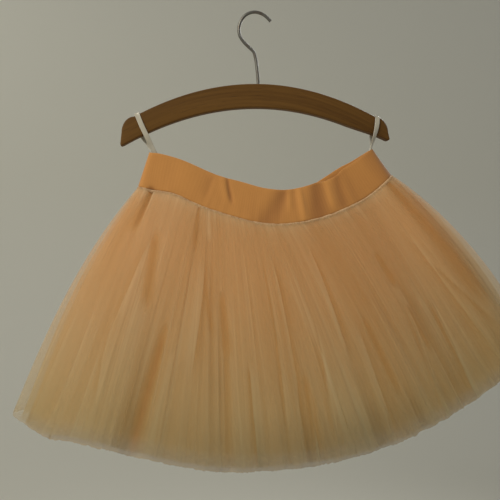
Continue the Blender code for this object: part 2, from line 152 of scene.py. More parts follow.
# Folds laid over: how pale (+) or dark (-) the net is on either side of their edge,
# fading over a width in mm. Start and end are shares of the drop from the waist.
# Pale sides stand for denser net with painted light on the fold's edge, dark sides for thinner net with
# painted shade in the fold.
LAID_FOLDS = (
    # name, row at start, row at end, start, end, left tone, left width, right tone, right width
    ("pinch fold", 1.90, 1.72, 0.00, 0.20, -0.80, 7, -0.66, 3),
    ("left low", 2.15, 2.51, 0.52, 0.90, -0.18, 8, 0.11, 8),
    ("left ray", 2.65, 2.29, 0.21, 0.60, -0.15, 8, 0.17, 8),
    ("left streak", 2.86, 3.36, 0.16, 0.52, -0.66, 9, -0.46, 6),
    ("wedge", 4.06, 4.00, 0.50, 1.00, -0.95, 7, -0.95, 6),
    ("wedge ridge", 4.30, 4.21, 0.58, 1.00, 0.15, 3, 0.22, 6),
    ("upper dark", 4.24, 4.42, 0.02, 0.20, -0.40, 4, -0.36, 4),
    ("left panel", 4.87, 4.69, 0.21, 0.72, 0.14, 20, -0.24, 8),
    ("upper pale", 4.90, 4.98, 0.00, 0.16, 0.24, 5, 0.24, 5),
    ("thin dark", 4.88, 5.11, 0.33, 0.53, -0.38, 3, -0.38, 3),
    ("middle dark", 5.32, 5.42, 0.34, 0.62, -0.69, 4, -0.62, 7),
    ("middle low", 5.42, 5.42, 0.52, 1.00, -0.38, 6, -0.25, 6),
    ("centre low", 5.93, 5.95, 0.60, 1.00, -0.50, 6, 0.21, 12),
    ("centre line", 6.68, 6.49, 0.15, 0.90, -0.38, 3, 0.14, 8),
    ("centre pale", 6.99, 6.72, 0.13, 1.00, 0.21, 4, -0.31, 8),
    ("right low", 7.01, 6.96, 0.64, 0.96, -0.62, 5, -0.50, 3),
    ("right low pale", 7.03, 6.96, 0.72, 1.00, 0.35, 3, -0.25, 6),
    ("right streak", 7.45, 7.20, 0.45, 0.97, -0.25, 8, 0.21, 5),
    ("right pale", 8.10, 7.77, 0.09, 0.70, 0.21, 6, -0.31, 8),
    ("fan pale", 8.22, 8.02, 0.48, 1.00, 0.22, 9, -0.26, 10),
    ("fan dark", 8.41, 8.37, 0.46, 0.86, -0.56, 6, -0.56, 6),
    ("slope dark", 9.42, 9.41, 0.23, 0.42, -0.62, 5, -0.56, 5),
    ("slope low", 9.43, 9.42, 0.48, 0.74, -0.50, 5, -0.44, 5),
    ("slope pale", 9.42, 9.04, 0.44, 1.00, -0.24, 8, 0.21, 6),
    ("slope wedge", 9.98, 9.85, 0.50, 1.00, -0.48, 13, 0.22, 6),
    ("right ray", 10.32, 10.55, 0.20, 0.93, -0.22, 8, 0.17, 6),
    ("right ray high", 10.40, 10.82, 0.36, 0.82, -0.25, 7, 0.15, 6),
    ("right shade", 10.74, 10.83, 0.02, 0.76, -0.65, 9, -0.50, 6),
    ("right margin", 11.45, 11.40, 0.10, 1.00, 0.35, 12, 0.35, 14),
    ("back right ray", 13.60, 13.75, 0.15, 0.80, -0.31, 8, 0.17, 6),
    ("back slope", 14.40, 14.55, 0.40, 1.00, -0.62, 12, 0.28, 6),
    ("back slope high", 14.80, 14.70, 0.10, 0.60, 0.17, 6, -0.31, 8),
    ("back right low", 15.45, 15.60, 0.55, 1.00, -0.50, 6, 0.21, 9),
    ("back right line", 15.95, 15.85, 0.10, 0.85, -0.44, 4, 0.17, 8),
    ("back right dark", 16.35, 16.40, 0.30, 0.75, -0.69, 5, -0.50, 6),
    ("back middle", 16.90, 17.05, 0.50, 1.00, 0.24, 8, -0.44, 7),
    ("back middle high", 17.20, 17.15, 0.00, 0.30, -0.50, 5, -0.38, 5),
    ("back left line", 17.70, 17.60, 0.20, 1.00, -0.31, 4, 0.21, 8),
    ("back left wedge", 18.20, 18.30, 0.45, 1.00, -0.75, 8, 0.28, 6),
    ("back left ray", 18.75, 18.60, 0.10, 0.70, 0.17, 9, -0.31, 6),
    ("back left low", 19.30, 19.40, 0.60, 1.00, -0.50, 7, 0.21, 6),
    ("back left fan", 19.75, 19.60, 0.05, 0.60, -0.44, 6, 0.14, 8),
)

# Soft flutes and the crease of the waistband, mm: low and high are shares of its height
# Their depth also tints the band: painted shade in the hollows, painted light on the ridges.
FLUTES = (
    # row at the seam, row at the top edge, half width, depth, low, high
    (PINCH_ROW, 1.80, 4.5, -3.4, -0.6, 0.14),
    (3.30, 3.30, 9.0, 0.6, 0.0, 1.0),
    (4.40, 4.30, 8.0, -0.6, 0.1, 1.0),
    (5.97, 5.29, 2.6, -1.8, 0.2, 1.1),
    (5.75, 5.05, 5.0, 0.5, 0.2, 1.1),
    (6.40, 6.60, 12.0, -0.3, 0.0, 1.0),
    (7.10, 7.75, 14.0, -1.4, -0.3, 1.1),
    (7.55, 7.75, 6.0, -0.5, -0.2, 1.1),
    (7.95, 7.93, 3.6, 0.6, 0.2, 1.1),
    (8.15, 8.10, 4.0, -0.5, 0.2, 1.1),
    (8.36, 8.32, 4.4, 1.5, -0.2, 1.1),
    (8.74, 8.92, 11.0, -2.0, -0.3, 1.1),
    (9.15, 9.24, 4.4, 1.2, 0.0, 1.1),
    (9.40, 9.58, 6.0, -1.4, -0.2, 1.1),
    (9.80, 9.85, 6.0, -0.6, -0.2, 1.1),
    (10.4, 10.4, 10.0, 0.4, -0.2, 1.1),
    # This broad shallow flute mostly paints shade over the right of the band, where less light falls.
    (10.9, 10.9, 34.0, -1.0, -0.6, 1.4),
    (15.4, 15.5, 8.0, 0.9, -0.2, 1.1),
    (17.0, 16.9, 11.0, -0.9, -0.2, 1.1),
    (18.5, 18.6, 9.0, 0.9, -0.2, 1.1),
)
# Where the band's top edge sags, mm, so that the inside of the other half shows over it
SAGS = (
    # row, half width, drop
    (9.40, 14.0, 3.4),
    (14.4, 24.0, -1.6),
)

# Plies of net, from the outside in. longer is a share of the drop to the hem, inset is in mm at
# the waist, the hem and the side turns, and gathers are on the front and the back. phase and seed
# give each ply its own uneven folds. slant is how far they wander down the ply, in gathers.
# laid_share is how much of the laid folds' tone shows on it. look is the least and the most that
# the net covers, the light that it lets through, and how much less it covers at the hem.
Ply = namedtuple("Ply", "name solid slot longer inset gathers phase slant laid_share seed look")
PLIES = (
    Ply(
        name="sheer_net", solid="tulle_outer", slot="sheer_tulle",
        longer=0.000, inset=(-0.7, 0.0, 0.0), gathers=(54, 42), phase=11,
        slant=0.9, laid_share=1.0, seed=3, look=(0.28, 0.62, 0.45, -0.4),
    ),
    Ply(
        name="second_net", solid=None, slot="sheer_tulle",
        longer=-0.006, inset=(0.6, 4.5, 13.0), gathers=(50, 40), phase=14,
        slant=2.2, laid_share=0.9, seed=17, look=(0.34, 0.76, 0.40, -0.1),
    ),
    Ply(
        name="deep_net", solid="tulle_inner", slot="deep_tulle",
        longer=0.014, inset=(2.8, 12.5, 22.0), gathers=(48, 38), phase=11,
        slant=-1.6, laid_share=0.7, seed=29, look=(0.90, 1.0, 0.25, 0.35),
    ),
)
# Pleats of a ply, mm: their height at the waist and at the hem, and how far they lean over
PLY_PLEATS = (
    # pleats for each gather, height at waist, at hem, lean at hem, wander
    (1.0, 0.50, 1.90, 1.3, 0.25),
    (2.3, 0.22, 0.60, 0.4, 0.80),
    (5.1, 0.10, 0.16, 0.0, 1.20),
)
# Edges where a fold lies over to one side: a pale line of denser net with painted light on it, fading
# across the fold
FOLD_EDGES = (
    # folds for each gather, weight, edge and fade as shares of a fold, latest start
    (0.31, 0.30, 0.08, 0.50, 0.45),
    (1.00, 0.56, 0.12, 0.32, 0.60),
    (2.30, 0.34, 0.20, 0.35, 0.50),
)
SOFT_NORMALS = 0.82  # share of the drape's own direction in how the pleats take the light

# Tone of the net, from the deepest fold, -0.5, to the palest, 1. It sets how much the net covers and also
# its tint: painted shade in folds and creases, painted light on fold edges.
EVEN_TONE = 0.32  # net that lies flat
EDGE_TONE = 0.9  # how much the edges of folds count
# Painted shade in the creases: the net is tinted darker, and thinner, for each mm that a crease pulls in.
CREASE_SHADE_TONE = 0.02  # how much darker for each mm that a crease pulls in
CONTRAST_AT_WAIST, CONTRAST_AT_HEM = 0.98, 0.42
LAID_LIFT = 0.0007  # how far a laid fold of tone 1 stands out
LAID_FADE = 0.42  # how much weaker the laid folds are at the hem
# Painted light just under the seam, where the gathered net is also denser.
SEAM_GLOW, SEAM_GLOW_DROP = 0.16, 0.06  # paler just under the seam
LOW_LIGHT_SHARES = (0.71, 0.89, 1.0)  # red, green and blue that the peach keeps toward the hem
LOW_DEEP_SHARES = (0.82, 0.92, 0.93)

HOOK_IN_BAR = 15  # mm that the hook's wire reaches into the bar
# Middle line of the bent hook, mm
HOOK = (
    # x, z
    (21.8, -8.6),
    (16.4, -3.4),
    (9.6, 0.6),
    (0.0, 1.95),
    (-9.6, -2.0),
    (-16.4, -11.0),
    (-18.6, -20.6),
    (-17.2, -28.4),
    (-12.9, -35.3),
    (-5.8, -42.2),
    (0.2, -48.0),
    (2.4, -55.0),
    (4.6, -71.0),
    (6.0, -88.0),
)

# Middle lines of the ribbon loops, mm, and the ribbon's turn about its own line, degrees
LEFT_LOOP = (
    # x, y, z, turn
    (-120.6, -1.7, -186, 0),
    (-122.4, -1.6, -178, 0),
    (-126.2, -3.0, -169, 0),
    (-132.0, -7.0, -157, 0),
    (-138.2, -7.3, -144, 0),
    (-143.6, -6.0, -130.6, 0),
    (-143.8, -3.0, -129.2, 0),
    (-143.8, 3.0, -129.2, 0),
    (-143.6, 6.0, -130.6, 0),
    (-142.2, 7.2, -140, 0),
    (-138.6, 7.3, -153, 0),
    (-130.6, 5.0, -164, 0),
    (-122.0, 0.9, -177.5, 0),
    (-121.4, 1.7, -186, 0),
)
RIGHT_LOOP = (
    # x, y, z, turn
    (151.0, -0.2, -178, 80),
    (151.7, -0.4, -169.5, 80),
    (152.5, -3.4, -161.0, 66),
    (153.6, -9.0, -152, 42),
    (157.0, -8.4, -138, 9),
    (158.6, -6.3, -126.2, 0),
    (159.0, -3.0, -125.2, 0),
    (159.0, 3.0, -125.2, 0),
    (158.6, 6.3, -126.2, 0),
    (157.2, 7.4, -138, 0),
    (154.6, 7.4, -151, -30),
    (152.4, 4.4, -161, -66),
    (150.3, 0.6, -169.5, -80),
    (149.6, 0.5, -178, -80),
)
# The way that each ribbon's width runs where it isn't turned
LEFT_LOOP_ACROSS = (0.90, 0.0, 0.43)
RIGHT_LOOP_ACROSS = (0.88, 0.0, -0.47)
RIBBON_CURL = 0.0003

# Hanger bar, metres. Each end is rounded from TIP_REACH inward, down by TIP_DROP.
BAR_CENTRE_X = 0.0042
BAR_TOP_Z = -0.0888
BAR_HALF_LENGTH = 0.1695
BAR_DEPTH = 0.0295
BAR_THICKNESS = 0.012
BAR_ROUNDING = 0.0018
TOP_BEND = 1.78  # the edges drop by their bend times the square of the run from the middle
BOTTOM_BEND = 1.70
TIP_REACH = 0.0175
TIP_DROP = 0.020
TIP_SLANT = 0.0018
CORNER = 0.0022  # radius of the lower corners
CORNER_LIFT = 0.0005
RIGHT_CUT = 0.0064  # how much higher the lower corner of the right end is cut
RIGHT_CUT_FROM, RIGHT_CUT_RUN = 0.11, 0.065
BAR_TILT = math.radians(1.3)

# Stage, metres
FLOOR_FRONT = -6.0
FLOOR_HALF_WIDTH = 7.0
BEND_START = 1.6
BEND_RADIUS = 1.4
BACKDROP_HEIGHT = 5.0
SURROUNDINGS = (0.94, 0.96, 1.0)
SKIRT_MIDDLE = (0, 0, -0.33)
BACKDROP_LEFT = (-0.7, 3.0, 0.8)
LIGHTS = (
    # name, size, share of the key's power, spread in degrees, tint, place, aim
    ("key_light", 1.4, 0.90, 180, (1.0, 0.95, 0.84), (-1.25, -1.1, 0.88), SKIRT_MIDDLE),
    ("back_light", 1.6, 0.34, 84, (0.97, 0.97, 1.0), (1.3, 2.0, 1.0), SKIRT_MIDDLE),
    ("wash_light", 1.5, 0.24, 180, (1.0, 0.98, 0.90), (-2.2, 1.4, 1.4), BACKDROP_LEFT),
)
CAMERA_SPOT = (-0.1108, -0.8080, -0.2956)
CAMERA_HEADING = math.radians(7.5)


# ---------------------------------------------------------------- settings


def colour(name, description, default):
    return FloatVectorProperty(
        name=name, description=description, subtype="COLOR", size=3, min=0, max=1, default=default
    )


def length(name, description, default):
    return FloatProperty(name=name, description=description, default=default, unit="LENGTH")


class SkirtNet(bpy.types.PropertyGroup):
    """Sizes and colours of the net plies."""

    columns: IntProperty(name="Columns", description="Columns across a front ply", default=1150)
    levels: IntProperty(name="Levels", description="Levels down a ply", default=42)
    ragged: length("Ragged hem", "How uneven the cut hem is", 0.0009)
    stepped: length("Stepped hem", "How much lower a fold that lies over ends", 0.0030)
    cell: length("Net cell", "Width of one cell of the net", 0.0020)
    light: colour("Light peach", "Sheer net where it lies in folds", (0.90, 0.69, 0.39))
    # Painted light: the sheer net is tinted paler toward the left.
    margin: colour("Pale margin", "Sheer net toward the left side", (0.86, 0.70, 0.51))
    deep: colour("Deep peach", "Net in the depth of the folds", (0.72, 0.43, 0.16))
    depth: colour("Fold shade", "Net at the bottom of the sharpest folds", (0.60, 0.31, 0.09))
    inner: colour("Inner peach", "The denser ply inside", (0.80, 0.44, 0.145))
    shade: colour("Low shade", "Net low on the right, which gets less light", (0.20, 0.135, 0.055))
    # Painted shadow at the hem.
    hem: colour("Hem", "The last of the net above its cut edge", (0.38, 0.30, 0.19))


class SkirtBand(bpy.types.PropertyGroup):
    """Sizes and colours of the waistband and its seam."""

    columns: IntProperty(name="Columns", description="Columns round the waistband", default=720)
    rib: length("Rib", "Width of one rib of the knit", 0.00316)
    salmon: colour("Salmon rib", "Colour of the rib knit", (0.52, 0.225, 0.046))
    shade: colour("Rib shade", "Colour between the ribs and in the creases", (0.30, 0.115, 0.020))
    thread: colour("Thread", "Overlock thread of the seam", (0.61, 0.42, 0.23))
    thread_shade: colour("Thread shade", "Darker fibres of the thread", (0.46, 0.27, 0.12))
    stitches: IntProperty(name="Stitches", description="Overlock stitches round", default=330)


class SkirtHanger(bpy.types.PropertyGroup):
    """Sizes and colours of the hanger and the ribbon loops."""

    wire: length("Wire", "Thickness of the hook's wire", 0.0039)
    ribbon: length("Ribbon", "Width of the ribbon", 0.006)
    ribbon_wall: length("Ribbon thickness", "Thickness of the ribbon", 0.0005)
    weft: length("Weft", "Distance from one weft thread of the ribbon to the next", 0.0007)
    wood: colour("Wood", "Light grain of the bar", (0.145, 0.070, 0.015))
    grain: colour("Grain", "Dark grain of the bar", (0.068, 0.029, 0.006))
    pore: colour("Pores", "Pores of the wood", (0.05, 0.022, 0.008))
    satin: colour("Satin", "Ribbon", (0.50, 0.465, 0.37))
    satin_shade: colour("Satin shade", "Ribbon where it is dull", (0.36, 0.32, 0.22))
    steel: colour("Steel", "Wire", (0.165, 0.158, 0.135))
    tarnish: colour("Tarnish", "Brown spots on the wire", (0.13, 0.10, 0.075))


class SkirtStage(bpy.types.PropertyGroup):
    """Floor, light and camera."""

    floor_z: length("Floor height", "Height of the floor", -1.25)
    lens: FloatProperty(name="Lens", description="Focal length, mm", default=46.94)
    key: FloatProperty(name="Key light", description="Watts that the lights take shares of", default=34.0)
    fill: FloatProperty(name="Fill", description="Strength of the pale surroundings", default=0.31)
    pale: colour("Pale floor", "Floor and backdrop", (0.68, 0.665, 0.57))


# ---------------------------------------------------------------- curves of the cloth


def smooth_curve(knots, rows, at, closed):
    """Reads a smooth curve through rows, one for each knot, at the places in at."""
    knots, rows, at = np.asarray(knots), np.asarray(rows, float), np.asarray(at)
    if closed:
        knots = np.concatenate([knots[-3:] - 1, knots, knots[:3] + 1])
        rows = np.concatenate([rows[-3:], rows, rows[:3]])
    steps = np.diff(knots)
    slopes = np.diff(rows, axis=0) / steps[:, None]
    tangents = np.empty_like(rows)
    tangents[0], tangents[-1] = slopes[0], slopes[-1]
    tangents[1:-1] = slopes[:-1] * steps[1:, None] + slopes[1:] * steps[:-1, None]
    tangents[1:-1] /= (steps[1:] + steps[:-1])[:, None]
    k = np.clip(np.searchsorted(knots, at, side="right") - 1, 0, len(steps) - 1)
    h = steps[k][:, None]
    t = (at - knots[k])[:, None] / h
    return (
        rows[k] * (2 * t**3 - 3 * t**2 + 1)
        + tangents[k] * h * (t**3 - 2 * t**2 + t)
        + rows[k + 1] * (3 * t**2 - 2 * t**3)
        + tangents[k + 1] * h * (t**3 - t**2)
    )


def unit(vectors):
    return vectors / np.linalg.norm(vectors, axis=-1, keepdims=True)


def smooth_step(x):
    x = np.clip(x, 0, 1)
    return x * x * (3 - 2 * x)


def bell(x):
    return np.exp(-(x**2))


TABLE = np.array([row[1:] for row in FOLDS], float) * MM


def ring_runs(columns):
    """Length of each stretch of the skirt from one row of FOLDS to the next."""
    ring = np.vstack([TABLE[:, columns], TABLE[:1, columns]])
    return np.linalg.norm(np.diff(ring, axis=0), axis=1)


WAIST_RUNS, HEM_RUNS = ring_runs(slice(3, 6)), ring_runs(slice(6, 9))
WAIST_LENGTH, HEM_LENGTH = WAIST_RUNS.sum(), HEM_RUNS.sum()
KNOTS = np.zeros(len(TABLE) + 1)
for each_run in (WAIST_RUNS, HEM_RUNS):
    KNOTS[1:] += 0.5 * np.cumsum(each_run) / each_run.sum()
RIGHT_SEAM = KNOTS[RIGHT_SEAM_ROW]


def place(row):
    """Place round the skirt, 0 to 1, of one or more fractional rows of FOLDS."""
    return np.interp(row, range(len(KNOTS)), KNOTS)


def apart(u, other):
    """How far u is from another place, the shorter way round, as a share of the ring."""
    return np.mod(u - other + 0.5, 1.0) - 0.5


def lines(u):
    """Top edge, waist, hem and puff at the places u round the skirt."""
    read = smooth_curve(KNOTS[:-1], TABLE, np.mod(u, 1.0), closed=True)
    return read[:, 0:3], read[:, 3:6], read[:, 6:9], read[:, 9]


def around(u):
    """Unit vectors along the cloth, once round."""
    step = 1e-4
    ahead, behind = lines(u + step), lines(u - step)
    return unit(ahead[1] + ahead[2] - behind[1] - behind[2])


def outward(u, upper, lower):
    """Unit vectors out of the cloth that runs from an upper line to a lower one."""
    return unit(np.cross(unit(lower - upper), around(u)))


def wander(x, y, seed):
    """Smooth random height, -1 to 1, over a grid of places x by y."""
    table = np.random.default_rng(seed).uniform(-1, 1, (64, 1024))
    xs, ys = np.mod(x, 1024), np.mod(y, 64)
    i, j = np.floor(xs).astype(int), np.floor(ys).astype(int)
    fx, fy = smooth_step(xs - i), smooth_step(ys - j)

    def row(j):
        return table[j % 64, i % 1024] * (1 - fx) + table[j % 64, (i + 1) % 1024] * fx

    return row(j) * (1 - fy) + row(j + 1) * fy


def creases(u, levels, rows):
    """How far the folds pull the tulle in, metres, over columns u and levels."""
    pull = np.zeros((len(levels), len(u)))
    for row, start, deepest, half_width, depth in rows:
        strength = smooth_step((levels - start) / (deepest - start))
        # Past its deepest level, a fold slowly lets go.
        strength = strength * np.where(levels > deepest, 1 - 0.6 * (levels - deepest), 1)
        away = apart(u, place(row)) * HEM_LENGTH / MM
        pull += depth * MM * strength[:, None] * bell(away / half_width)[None, :]
    return pull


def laid_folds(u, levels):
    """How pale or dark the laid folds make the net, over columns u and levels."""
    tone = np.zeros((len(levels), len(u)))
    widths = WAIST_LENGTH + (HEM_LENGTH - WAIST_LENGTH) * levels
    for _, from_row, to_row, start, end, left, left_width, right, right_width in LAID_FOLDS:
        along = np.clip((levels - start) / (end - start), 0, 1)
        away = apart(u[None, :], place(from_row + (to_row - from_row) * along)[:, None])
        # A fold opens from half its width to all of it.
        away = away * (widths / MM / (0.5 + 0.5 * along))[:, None]
        # It fades in, unless it starts at the seam, and fades out, unless it reaches the hem.
        shown = smooth_step(along / 0.22)
        if start <= 0.03:
            shown = smooth_step((levels - start + 0.02) / 0.02)
        if end < 1:
            shown = shown * smooth_step((1 - along) / 0.3)
        sides = np.where(away < 0, left * bell(away / left_width), right * bell(away / right_width))
        tone += sides * shown[:, None]
    return tone


def gather_turns(u, first, last, count, phase):
    """How many gathers lie before each place, and the size of the gather there."""
    # Each gather ends a little off its even place, and has a size of its own.
    ends = [
        k + (0.26 * math.sin(2.4 * k + phase) + 0.12 * math.sin(5.3 * k + phase)) * (0 < k < count)
        for k in range(count + 1)
    ]
    turns = np.interp((u - first) / (last - first) * count, ends, range(count + 1))
    k = np.arange(count)
    size = 0.72 + 0.34 * np.sin(1.7 * k + phase) * np.sin(0.61 * k + 2 * phase)
    return turns, np.interp(turns, k + 0.5, size)


# ---------------------------------------------------------------- meshes


def in_scene(name, data):
    obj = bpy.data.objects.new(name, data)
    bpy.context.scene.collection.objects.link(obj)
    return obj


def mesh_object(name, mesh, mat):
    """A smooth piece of the skirt or its hanger that rides on the body."""
    mesh.materials.clear()
    mesh.materials.append(mat)
    mesh.shade_smooth()
    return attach(in_scene(name, mesh), BODY)


def grid_mesh(name, points, closed_rows=False, closed_columns=False):
    """Quads over a grid of points, level by level."""
    rows, columns = points.shape[:2]
    index = np.arange(rows * columns).reshape(rows, columns)
    if closed_columns:
        index = np.concatenate([index, index[:, :1]], axis=1)
    if closed_rows:
        index = np.concatenate([index, index[:1]], axis=0)
    quads = np.stack([index[:-1, :-1], index[1:, :-1], index[1:, 1:], index[:-1, 1:]], axis=-1)
    quads = quads.reshape(-1, 4)
    mesh = bpy.data.meshes.new(name)
    mesh.vertices.add(rows * columns)
    mesh.vertices.foreach_set("co", points.reshape(-1).astype(np.float32))
    mesh.loops.add(len(quads) * 4)
    mesh.loops.foreach_set("vertex_index", quads.reshape(-1).astype(np.int32))
    mesh.polygons.add(len(quads))
    mesh.polygons.foreach_set("loop_start", np.arange(0, len(quads) * 4, 4, dtype=np.int32))
    mesh.update(calc_edges=True)
    mesh.validate()
    return mesh


def corner_places(shape, closed_rows, closed_columns):
    """Column and row, as shares, of each corner of a grid's quads."""
    rows, columns = shape
    down, across = rows - (not closed_rows), columns - (not closed_columns)
    j, i = np.meshgrid(np.arange(across), np.arange(down))
    corners = np.stack(
        [np.stack([j + a, i + b], axis=-1) for a, b in ((0, 0), (0, 1), (1, 1), (1, 0))], axis=-2
    )
    return corners.reshape(-1, 2) / (across, down)


def add_map(mesh, name, places):
    layer = mesh.uv_layers.new(name=name)
    layer.data.foreach_set("uv", places.reshape(-1).astype(np.float32))


def soften(mesh, drape):
    """Turns the shading of the pleats toward the drape that they lie on, as net does."""
    own = np.empty(len(mesh.vertices) * 3, np.float32)
    mesh.vertex_normals.foreach_get("vector", own)
    own, drape = own.reshape(-1, 3), drape.reshape(-1, 3)
    # Where a pleat doubles back, the net shows its other face.
    facing = np.where((own * drape).sum(axis=1, keepdims=True) < 0, -1.0, 1.0)
    mixed = unit(own * (1 - SOFT_NORMALS) + drape * facing * SOFT_NORMALS)
    mesh.normals_split_custom_set_from_vertices(mixed.tolist())


def cloth_grid(name, points, tone, size, mat, closed_rows=False, closed_columns=False):
    """A piece of cloth over a grid of points, with its tone stored as the attribute fold.

    size is the width and length in metres of its map cloth, and OFBake is its packed map."""
    mesh = grid_mesh(name, points, closed_rows, closed_columns)
    places = corner_places(points.shape[:2], closed_rows, closed_columns)
    add_map(mesh, "cloth", places * size)
    add_map(mesh, "OFBake", 0.004 + 0.992 * places)
    layer = mesh.attributes.new("fold", "FLOAT", "POINT")
    layer.data.foreach_set("value", tone.reshape(-1).astype(np.float32))
    return mesh_object(name, mesh, mat)


def kept_mesh(source):
    """Takes what an object makes as a plain mesh in place, and removes the object."""
    graph = bpy.context.evaluated_depsgraph_get()
    mesh = bpy.data.meshes.new_from_object(source.evaluated_get(graph))
    mesh.transform(source.matrix_world)
    bpy.data.objects.remove(source)
    return mesh


def reworked(mesh, change):
    """Runs one change on the mesh and turns its faces outwards."""
    work = bmesh.new()
    work.from_mesh(mesh)
    change(work)
    bmesh.ops.recalc_face_normals(work, faces=work.faces)
    work.to_mesh(mesh)
    work.free()


# ---------------------------------------------------------------- materials


class Tree:
    """A node tree, with one short call to add a node or to fill a socket."""

    def __init__(self, tree):
        self.tree = tree

    def put(self, socket, value):
        if isinstance(value, bpy.types.NodeSocket):
            self.tree.links.new(value, socket)
        else:
            socket.default_value = (*value, 1) if socket.type == "RGBA" else value

    def add(self, kind, inputs, **settings):
        node = self.tree.nodes.new(kind)
        for key, value in settings.items():
            setattr(node, key, value)
        for key, value in inputs.items():
            self.put(node.inputs[key], value)
        return node


class Nodes(Tree):
    """A material, with one short call for each kind of node that it uses."""

    def __init__(self, name):
        self.material = bpy.data.materials.new(name)
        self.material.use_nodes = True
        super().__init__(self.material.node_tree)
        self.shader = self.tree.nodes["Principled BSDF"]

    def maths(self, operation, *values, clamp=False):
        node = self.add(
            "ShaderNodeMath", dict(enumerate(values)), operation=operation, use_clamp=clamp
        )
        return node.outputs[0]

    def times(self, first, second):
        return self.maths("MULTIPLY", first, second)

    def layered(self, first, *parts):
        """The first value with each part, times its weight, added to it, from 0 to 1."""
        for number, (value, weight) in enumerate(parts, start=1):
            last = number == len(parts)
            first = self.maths("MULTIPLY_ADD", value, weight, first, clamp=last)
        return first

    def span(self, value, low, high, to_low=0.0, to_high=1.0):
        inputs = dict(enumerate((value, low, high, to_low, to_high)))
        node = self.add("ShaderNodeMapRange", inputs, interpolation_type="SMOOTHSTEP")
        return node.outputs[0]

    def blend(self, share, first, second):
        return self.add("ShaderNodeMix", {0: share, 6: first, 7: second}, data_type="RGBA").outputs[2]

    def stretched(self, vector, scale, turn=(0, 0, 0)):
        node = self.add("ShaderNodeMapping", {"Vector": vector, "Scale": scale, "Rotation": turn})
        return node.outputs[0]

    def noise(self, vector, scale=1.0, detail=2.0, rough=0.5):
        inputs = {"Vector": vector, "Scale": scale, "Detail": detail, "Roughness": rough}
        return self.add("ShaderNodeTexNoise", inputs).outputs[0]

    def stripes(self, vector, period, distortion=0.0, along="X"):
        """Stripes across a direction, with the given distance from one to the next."""
        inputs = {"Vector": vector, "Scale": math.pi / 10 / period, "Distortion": distortion}
        return self.add("ShaderNodeTexWave", inputs, bands_direction=along).outputs[1]

    def cloth_map(self):
        return self.add("ShaderNodeUVMap", {}, uv_map="cloth").outputs[0]

    def position(self):
        return self.add("ShaderNodeTexCoord", {}).outputs["Object"]

    def parts(self, vector):
        return self.add("ShaderNodeSeparateXYZ", {0: vector}).outputs

    def tone(self):
        return self.add("ShaderNodeAttribute", {}, attribute_name="fold").outputs["Fac"]

    def bump(self, height, strength, distance):
        inputs = {"Height": height, "Strength": strength, "Distance": distance}
        self.put(self.shader.inputs["Normal"], self.add("ShaderNodeBump", inputs).outputs[0])

    def surface(self, **inputs):
        for key, value in inputs.items():
            self.put(self.shader.inputs[key.replace("_", " ")], value)


def scaled(tint, shares):
    return [value * share for value, share in zip(tint, shares)]


def net_material(name, net, light, thin, dense, through, thinner):
    """Net: streaks of pleats, cells of the weave, and how much shows through it."""
    n = Nodes(name)
    cloth, fold = n.cloth_map(), n.tone()
    broad = n.noise(n.stretched(cloth, (11, 2.2, 1)))
    streak = n.noise(n.stretched(cloth, (90, 5.0, 1)))
    tone = n.maths("MULTIPLY_ADD", fold, 0.80, -0.14)
    tone = n.layered(tone, (broad, 0.44), (streak, 0.16))
    quarter = math.radians(45)
    across, back = (
        n.stripes(n.stretched(cloth, (1, 1, 1), (0, 0, turn)), net.cell, distortion=1.0)
        for turn in (quarter, -quarter)
    )
    threads = n.maths("MAXIMUM", across, back)
    density = n.times(n.span(tone, 0.15, 0.95, thin, dense), n.span(threads, 0.3, 1.0, 0.90))

    # Painted light makes the peach paler toward the left, and the peach turns duller and greener toward
    # the hem.
    down, sideways = n.parts(cloth)[1], n.parts(n.position())[0]
    lower = n.span(down, 0.05, 0.30)
    pale = n.blend(n.span(sideways, -0.27, -0.02, 0.7, 0.0), light, net.margin)
    pale = n.blend(lower, pale, scaled(light, LOW_LIGHT_SHARES))
    dark = n.blend(lower, net.deep, scaled(net.deep, LOW_DEEP_SHARES))
    # Low tone tints the net darker and more orange, partly the inner plies showing through and partly
    # painted shade in the folds; high tone, paler, is partly painted light on the fold edges.
    tint = n.blend(n.span(tone, 0.1, 0.9), dark, pale)
    # Painted shade at the bottom of the sharpest folds.
    tint = n.blend(n.span(fold, -0.5, 0.05, 0.9, 0.0), tint, net.depth)
    shaded = n.times(n.span(sideways, -0.20, 0.10, 0.25), n.span(sideways, 0.12, 0.24, 1.0, 0.15))
    tint = n.blend(n.times(n.span(down, 0.21, 0.28, 0.0, 0.34), shaded), tint, net.shade)
    # Painted shadow darkens the net just above its cut edge.
    hem = n.span(down, 0.264, 0.290)
    tint = n.blend(n.times(hem, 0.50), tint, net.hem)
    density = n.times(density, n.maths("MULTIPLY_ADD", hem, -thinner, 1.0))

    n.surface(Base_Color=tint, Roughness=0.75, Sheen_Weight=0.15)
    glow = n.add("ShaderNodeBsdfTranslucent", {"Color": tint})
    clear = n.add("ShaderNodeBsdfTransparent", {})
    lit = n.add("ShaderNodeMixShader", {0: through, 1: n.shader.outputs[0], 2: glow.outputs[0]})
    mixed = n.add("ShaderNodeMixShader", {0: density, 1: clear.outputs[0], 2: lit.outputs[0]})
    n.put(n.tree.nodes["Material Output"].inputs["Surface"], mixed.outputs[0])
    return n.material


